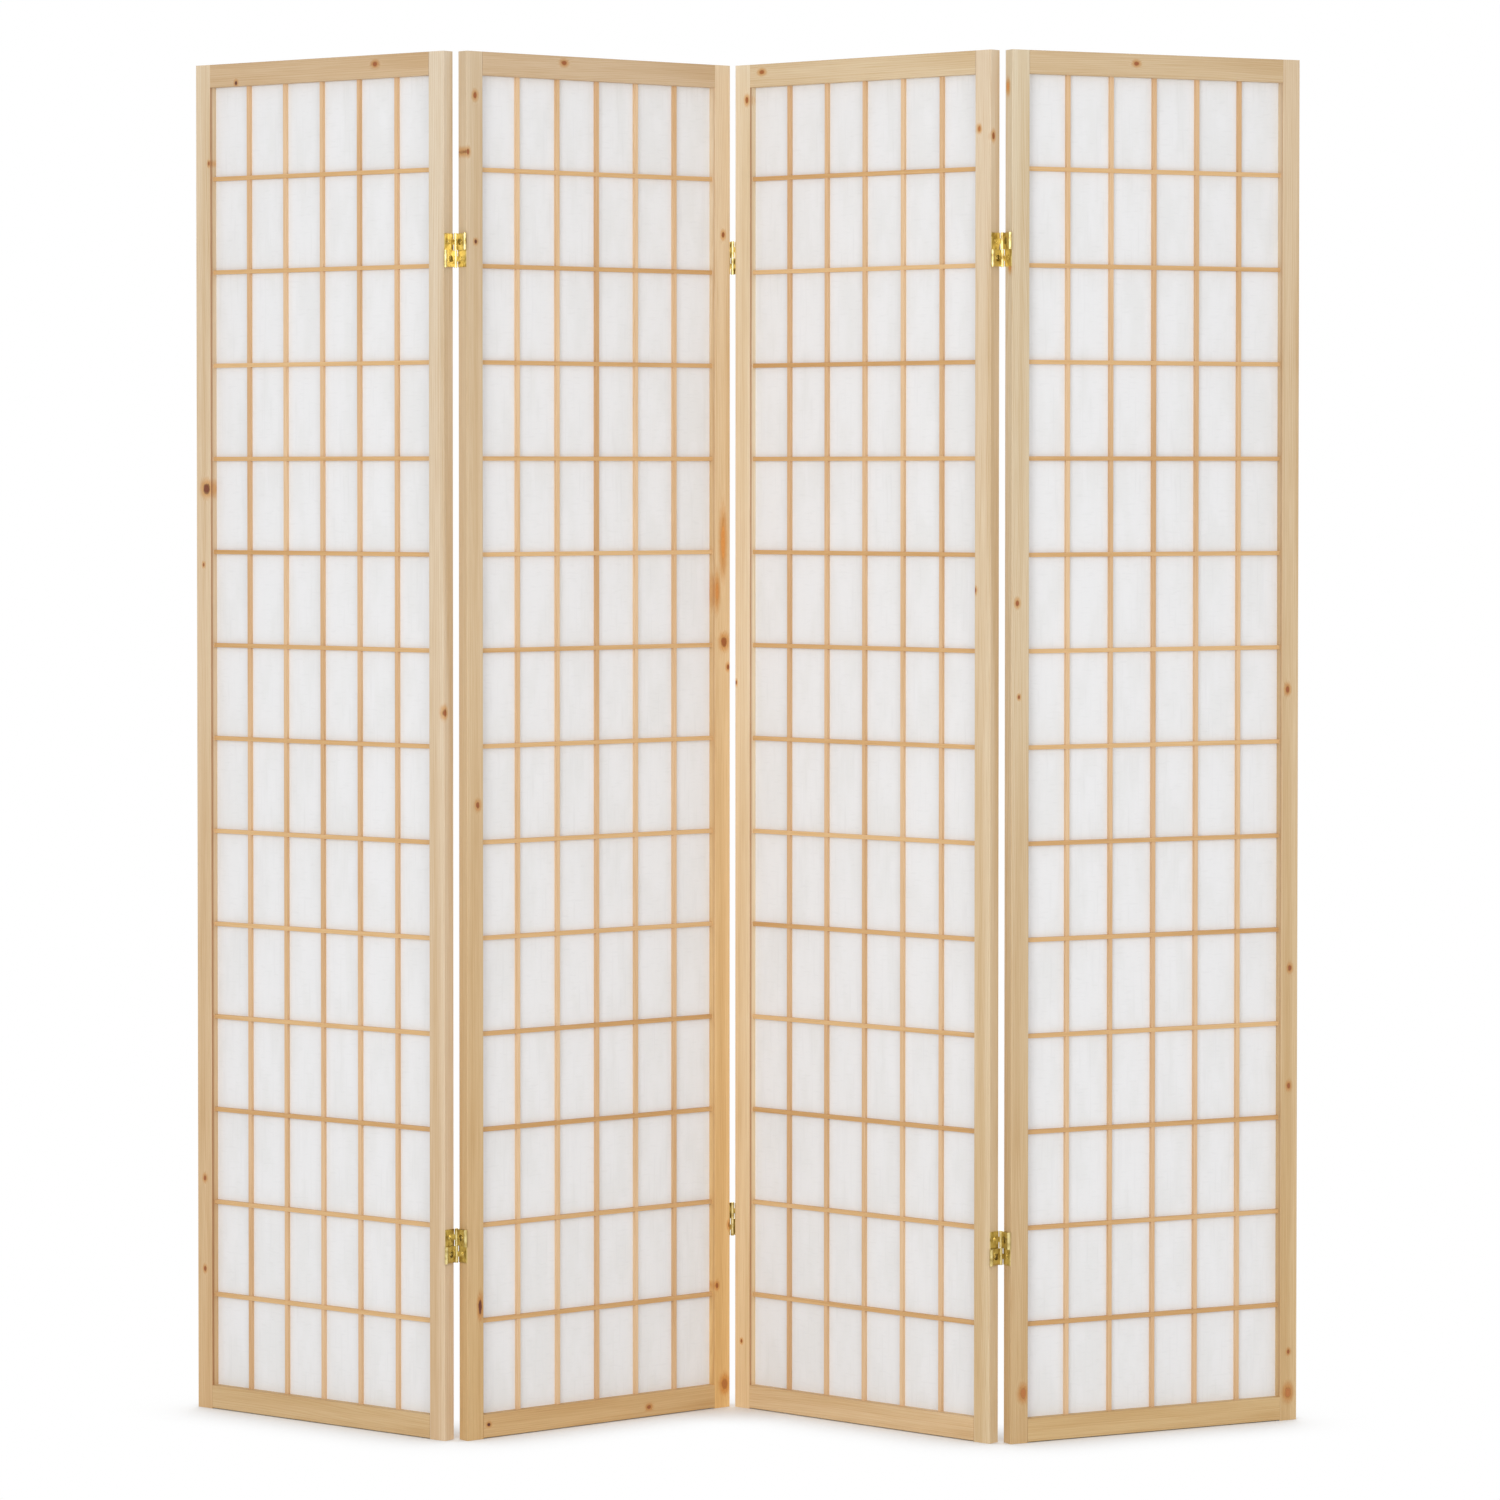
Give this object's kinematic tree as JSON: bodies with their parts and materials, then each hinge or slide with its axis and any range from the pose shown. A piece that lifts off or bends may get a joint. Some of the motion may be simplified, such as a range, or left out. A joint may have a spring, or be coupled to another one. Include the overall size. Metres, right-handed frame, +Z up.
{
  "type": "folding screen",
  "caption": "Free-standing folding screen: pine panels with a fine lattice over white paper, joined by brass double-action hinges.",
  "frame": {"origin": "centre of the footprint's bounding box, on the floor the stiles stand on, with the screen in the zigzag of the picture", "axes": "+Z up, +X to the right along the zigzag, +Y away from the viewer, towards the back of the panels"},
  "size_m": [1.4488, 0.313, 1.78],
  "materials": {
    "frame_pine": "satin clear coat",
    "lattice_pine": "satin clear coat",
    "dowel_beech": "matte",
    "paper": "matte",
    "hinge_brass": "polished",
    "screw_brass": "polished"
  },
  "bodies": {
    "panel_2": {"bottom_rail_panel_2": "frame_pine", "corner_dowels_panel_2": "dowel_beech", "hinge_pins_panel_2": "hinge_brass", "hinge_screws_panel_2": "screw_brass", "lattice_crossbars_panel_2": "lattice_pine", "lattice_uprights_panel_2": "lattice_pine", "left_leaf_panel_2": "hinge_brass", "left_stile_panel_2": "frame_pine", "paper_sheet_panel_2": "paper", "right_leaf_panel_2": "hinge_brass", "right_stile_panel_2": "frame_pine", "top_rail_panel_2": "frame_pine", "upper_link_joint_1_2": "hinge_brass", "upper_link_joint_2_3": "hinge_brass"},
    "panel_1": {"bottom_rail_panel_1": "frame_pine", "corner_dowels_panel_1": "dowel_beech", "hinge_pins_panel_1": "hinge_brass", "hinge_screws_panel_1": "screw_brass", "lattice_crossbars_panel_1": "lattice_pine", "lattice_uprights_panel_1": "lattice_pine", "left_stile_panel_1": "frame_pine", "lower_link_joint_1_2": "hinge_brass", "paper_sheet_panel_1": "paper", "right_leaf_panel_1": "hinge_brass", "right_stile_panel_1": "frame_pine", "top_rail_panel_1": "frame_pine"},
    "panel_3": {"bottom_rail_panel_3": "frame_pine", "corner_dowels_panel_3": "dowel_beech", "hinge_pins_panel_3": "hinge_brass", "hinge_screws_panel_3": "screw_brass", "lattice_crossbars_panel_3": "lattice_pine", "lattice_uprights_panel_3": "lattice_pine", "left_leaf_panel_3": "hinge_brass", "left_stile_panel_3": "frame_pine", "lower_link_joint_2_3": "hinge_brass", "lower_link_joint_3_4": "hinge_brass", "paper_sheet_panel_3": "paper", "right_leaf_panel_3": "hinge_brass", "right_stile_panel_3": "frame_pine", "top_rail_panel_3": "frame_pine"},
    "panel_4": {"bottom_rail_panel_4": "frame_pine", "corner_dowels_panel_4": "dowel_beech", "hinge_pins_panel_4": "hinge_brass", "hinge_screws_panel_4": "screw_brass", "lattice_crossbars_panel_4": "lattice_pine", "lattice_uprights_panel_4": "lattice_pine", "left_leaf_panel_4": "hinge_brass", "left_stile_panel_4": "frame_pine", "paper_sheet_panel_4": "paper", "right_stile_panel_4": "frame_pine", "top_rail_panel_4": "frame_pine", "upper_link_joint_3_4": "hinge_brass"}
  },
  "joints": [
    {"name": "fold_1_2", "type": "hinge", "parent": "panel_2", "child": "panel_1", "pos_m": [-0.37124, -0.11512, 0], "axis": [0, 0, -1], "range_deg": [-76, 104]},
    {"name": "fold_2_3", "type": "hinge", "parent": "panel_2", "child": "panel_3", "pos_m": [-0.0143, 0.13863, 0], "axis": [0, 0, -1], "range_deg": [-79.5, 99.3]},
    {"name": "fold_3_4", "type": "hinge", "parent": "panel_3", "child": "panel_4", "pos_m": [0.32649, -0.13644, 0], "axis": [0, 0, 1], "range_deg": [-67.5, 112.5]}
  ]
}
